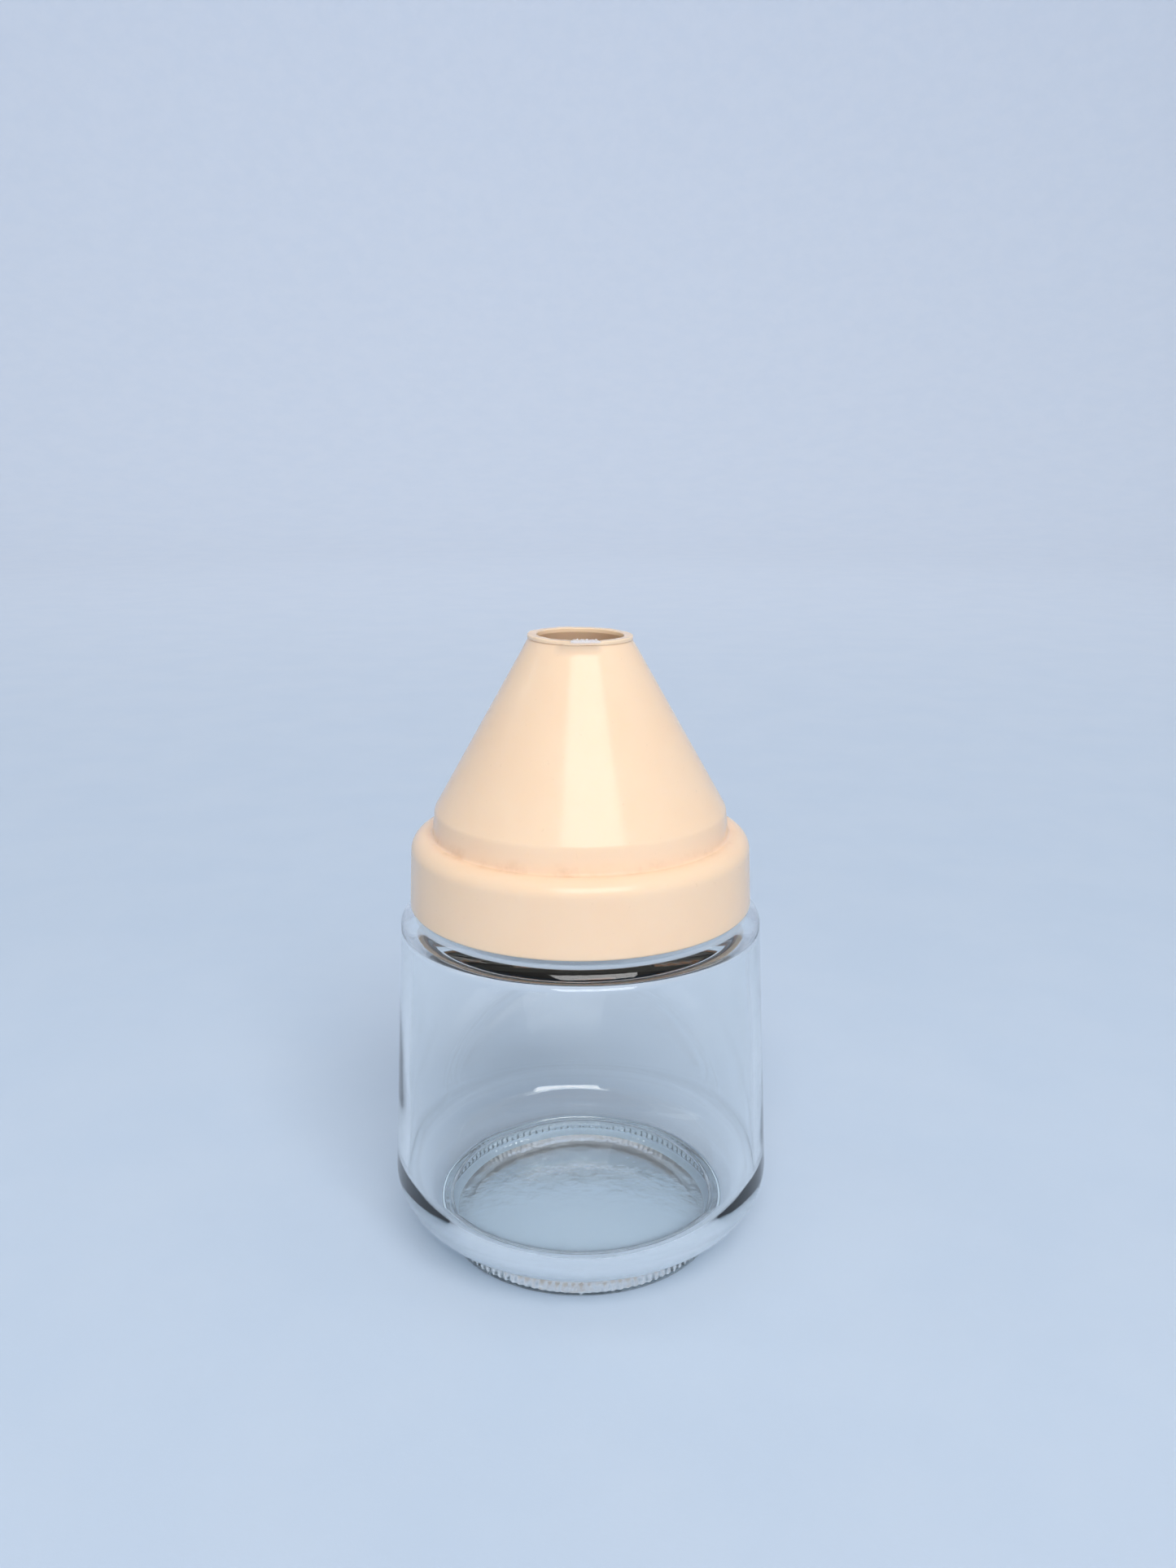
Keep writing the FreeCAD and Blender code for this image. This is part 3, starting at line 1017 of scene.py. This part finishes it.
# ---------------------------------------------------------------------------------------------
# Studio
# ---------------------------------------------------------------------------------------------
@dataclass(frozen=True)
class SoftBox:
    """A soft light round the trap.

    Attributes:
        name: the light's name.
        bearing: direction from the trap, in degrees to the right of the front.
        elevation: angle above the floor, in degrees.
        distance: distance from the trap.
        width: width of its window.
        height: height of its window.
        radiance: brightness of its window.
        colour: colour of its light.
        aim: the point it faces, or None for the trap.
    """

    name: str
    bearing: float
    elevation: float
    distance: float
    width: float
    height: float
    radiance: float
    colour: tuple[float, float, float] = (1.0, 1.0, 1.0)
    aim: Optional[tuple[float, float, float]] = None

    def place(self) -> bpy.types.Object:
        """Makes the light.

        Returns:
            The light's object.
        """
        lamp = bpy.data.lights.new(self.name, "AREA")
        lamp.shape = "RECTANGLE"
        lamp.size, lamp.size_y = self.width, self.height
        lamp.energy = self.radiance * math.pi * self.width * self.height
        lamp.color = self.colour
        light = bpy.data.objects.new(self.name, lamp)
        bearing, elevation = math.radians(self.bearing), math.radians(self.elevation)
        away = Vector((
            math.sin(bearing) * math.cos(elevation),
            -math.cos(bearing) * math.cos(elevation),
            math.sin(elevation),
        ))
        light.location = Studio.target + away * self.distance
        aim = Vector(self.aim) if self.aim else Studio.target
        light.rotation_mode = "QUATERNION"
        light.rotation_quaternion = (light.location - aim).to_track_quat("Z", "Y")
        light.visible_camera = False
        bpy.context.scene.collection.objects.link(light)
        return light


@dataclass(frozen=True)
class Studio:
    """Pale blue paper that curves up all round, soft lights and the camera."""

    floor_radius: float = 2.2
    curve_radius: float = 2.3
    wall_height: float = 3.2
    air: float = 0.29
    air_lean: float = 0.9
    air_side: tuple[float, float, float] = (0.55, 0.0, 0.835)
    air_colour: Colour = (1.0, 0.975, 0.95, 1.0)
    camera_distance: float = 0.3012
    camera_height: float = 0.1982
    camera_pitch: float = 14.87
    camera_yaw: float = 0.355
    lens: float = 29.31
    bounces: int = 32
    target = Vector((0.0, 0.0, 0.09))

    def paper(self) -> bpy.types.Object:
        """Lays the paper: flat under the trap, then curving up into a wall all round."""
        wall = self.floor_radius + self.curve_radius
        outline = Outline(
            corners=(
                Corner(0.0, 0.0, step=0.2),
                Corner(wall, 0.0, self.curve_radius, step=0.5),
                Corner(wall, self.wall_height),
            ),
            closed=False,
            arc_turn=math.radians(4),
            support=0.01,
        )
        piece = Lathe(180).turn("paper_floor", outline)
        piece.data.materials.append(BluePaper().material())
        return piece

    def sky(self) -> None:
        """Fills the room with soft white light, strongest from above and weakest from the left."""
        world = bpy.data.worlds.new("room")
        world.use_nodes = True
        nodes, links = world.node_tree.nodes, world.node_tree.links
        background = nodes["Background"]
        background.inputs["Color"].default_value = self.air_colour
        towards = nodes.new("ShaderNodeVectorMath")
        towards.operation = "DOT_PRODUCT"
        towards.inputs[1].default_value = self.air_side
        links.new(nodes.new("ShaderNodeTexCoord").outputs["Generated"], towards.inputs[0])
        strength = nodes.new("ShaderNodeMapRange")
        strength.inputs["From Min"].default_value = -1.0
        strength.inputs["To Min"].default_value = self.air * (1 - self.air_lean)
        strength.inputs["To Max"].default_value = self.air * (1 + self.air_lean)
        links.new(towards.outputs["Value"], strength.inputs["Value"])
        links.new(strength.outputs["Result"], background.inputs["Strength"])
        bpy.context.scene.world = world

    def lights(self) -> None:
        """Sets up the key, a narrow light on the left and a wash on the paper behind."""
        for light in (
            SoftBox("key", 11, 46, distance=3.0, width=2.3, height=1.6, radiance=6.4),
            SoftBox("left", -98, 42, distance=2.4, width=0.3, height=1.3, radiance=1.2),
            SoftBox(
                "wash", 180, 70, distance=2.66, width=3.0, height=1.0, radiance=6.2,
                colour=(1.0, 0.86, 0.78), aim=(0.0, 4.5, 1.63),
            ),
        ):
            light.place()

    def camera(self) -> None:
        """Sets up the camera."""
        lens = bpy.data.cameras.new("camera")
        lens.lens = self.lens
        lens.sensor_width = 36.0
        lens.clip_start, lens.clip_end = 0.01, 20.0
        camera = bpy.data.objects.new("camera", lens)
        camera.location = (0.0, -self.camera_distance, self.camera_height)
        tilt, turn = math.radians(90 - self.camera_pitch), math.radians(-self.camera_yaw)
        camera.rotation_euler = (tilt, 0.0, turn)
        bpy.context.scene.collection.objects.link(camera)
        bpy.context.scene.camera = camera

    def build(self) -> None:
        """Sets up the whole studio."""
        self.paper()
        self.sky()
        self.lights()
        self.camera()
        bpy.context.scene.view_settings.view_transform = "Standard"
        paths = bpy.context.scene.cycles
        paths.max_bounces = self.bounces
        paths.transmission_bounces = self.bounces
        paths.transparent_max_bounces = self.bounces


def main() -> None:
    """Builds the trap's pieces and the studio."""
    logging.basicConfig(level=logging.INFO, format="%(name)s: %(message)s")
    thread = Thread()
    pieces = [GlassJar(thread).build(), ConeCap(thread).build(), SealingRing().dress()]
    for piece in pieces:
        LOG.info("%s: %d faces", piece.name, len(piece.data.polygons))
    Studio().build()


if __name__ == "__main__":
    main()
